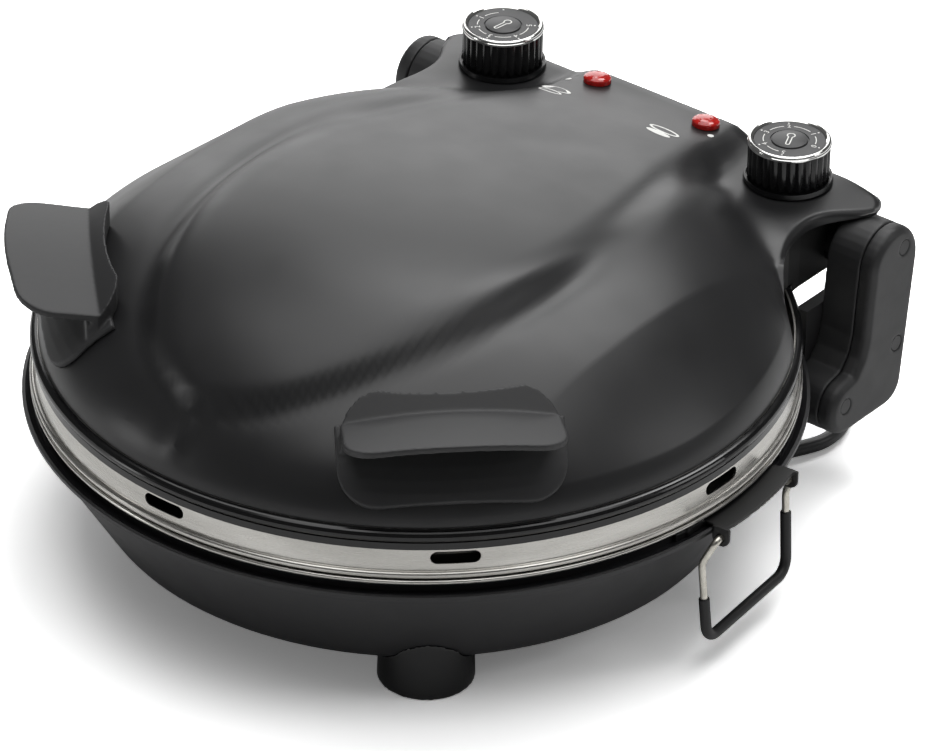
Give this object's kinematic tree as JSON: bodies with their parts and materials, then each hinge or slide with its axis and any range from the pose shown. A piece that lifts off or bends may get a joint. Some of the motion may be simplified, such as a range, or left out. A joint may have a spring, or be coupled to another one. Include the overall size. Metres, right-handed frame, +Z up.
{
  "type": "electric pizza maker",
  "caption": "Round countertop pizza oven: black bowl with baking stone on four feet, hinged dome lid with two handles, two thermostat knobs, pilot lamps and wire bails",
  "frame": {"origin": "on the floor under the middle of the part's outline, the cord left out", "axes": "+X to the right-hand bail, +Y to the hinge at the rear, +Z up"},
  "size_m": [0.3562, 0.4681, 0.1642],
  "materials": {
    "enamel_black": "gloss",
    "frame_black": "satin",
    "plastic_black": "satin",
    "knob_black": "gloss",
    "grip_grey": "matte",
    "rubber_black": "matte",
    "steel_trim": "brushed",
    "steel_inner": "satin",
    "steel_screw": "satin",
    "chrome_ring": "polished",
    "tube_dark": "matte",
    "stone_clay": "rough",
    "ceramic_white": "matte",
    "lamp_red": "gloss",
    "cable_black": "satin"
  },
  "bodies": {
    "base": {"base_bowl": "enamel_black", "foot_front_right": "enamel_black", "foot_rear_right": "enamel_black", "foot_left": "enamel_black", "hinge_bracket_right": "frame_black", "hinge_bracket_left": "frame_black", "bail_bracket_right": "frame_black", "bail_bracket_left": "frame_black", "bail_rivets": "frame_black", "arm_right": "plastic_black", "arm_left": "plastic_black", "arm_cover_right": "plastic_black", "arm_cover_left": "plastic_black", "arm_plugs": "plastic_black", "foot_pads": "rubber_black", "strain_relief": "rubber_black", "trim_ring": "steel_trim", "base_liner": "steel_inner", "lower_clips": "steel_inner", "base_screws": "steel_screw", "arm_screws": "steel_screw", "hinge_pins": "steel_screw", "plug_pins": "steel_screw", "lower_element": "tube_dark", "baking_stone": "stone_clay", "lower_bushes": "ceramic_white", "terminal_block": "ceramic_white", "power_cord": "cable_black", "cord_coil": "cable_black", "cord_tie": "cable_black", "plug_body": "cable_black"},
    "lid": {"lid_shell": "enamel_black", "lid_rim": "knob_black", "lid_band": "steel_trim", "lid_liner": "steel_inner", "upper_element": "tube_dark", "upper_clips": "steel_inner", "upper_bushes": "ceramic_white", "housing_cover": "frame_black", "hinge_lugs": "frame_black", "handle_right": "grip_grey", "handle_left": "grip_grey", "lamp_lenses": "lamp_red", "lamp_holders": "ceramic_white", "knob_collars": "knob_black", "thermostats": "steel_screw"},
    "knob_right": {"knob_right": "knob_black", "knob_ring_right": "chrome_ring", "knob_dial_right": "grip_grey", "knob_shaft_right": "steel_screw"},
    "knob_left": {"knob_left": "knob_black", "knob_ring_left": "chrome_ring", "knob_dial_left": "grip_grey", "knob_shaft_left": "steel_screw"},
    "bail_right": {"bail_wire_right": "steel_trim", "bail_sleeve_right": "rubber_black"},
    "bail_left": {"bail_wire_left": "steel_trim", "bail_sleeve_left": "rubber_black"}
  },
  "joints": [
    {"name": "lid_hinge", "type": "hinge", "parent": "base", "child": "lid", "pos_m": [0, 0.15875, 0.1035], "axis": [-1, 0, 0], "range_deg": [0, 95]},
    {"name": "knob_right_turn", "type": "hinge", "parent": "lid", "child": "knob_right", "pos_m": [0.0802, 0.15245, 0.14], "axis": [0, 0, -1], "range_deg": [0, 270]},
    {"name": "knob_left_turn", "type": "hinge", "parent": "lid", "child": "knob_left", "pos_m": [-0.0802, 0.15245, 0.14], "axis": [0, 0, -1], "range_deg": [0, 270]},
    {"name": "bail_right_swing", "type": "hinge", "parent": "base", "child": "bail_right", "pos_m": [0.17121, 0.01124, 0.065], "axis": [0.0958, -0.9954, 0], "range_deg": [-15, 100]},
    {"name": "bail_left_swing", "type": "hinge", "parent": "base", "child": "bail_left", "pos_m": [-0.17121, 0.01124, 0.065], "axis": [0.0958, 0.9954, 0], "range_deg": [-15, 100]}
  ]
}
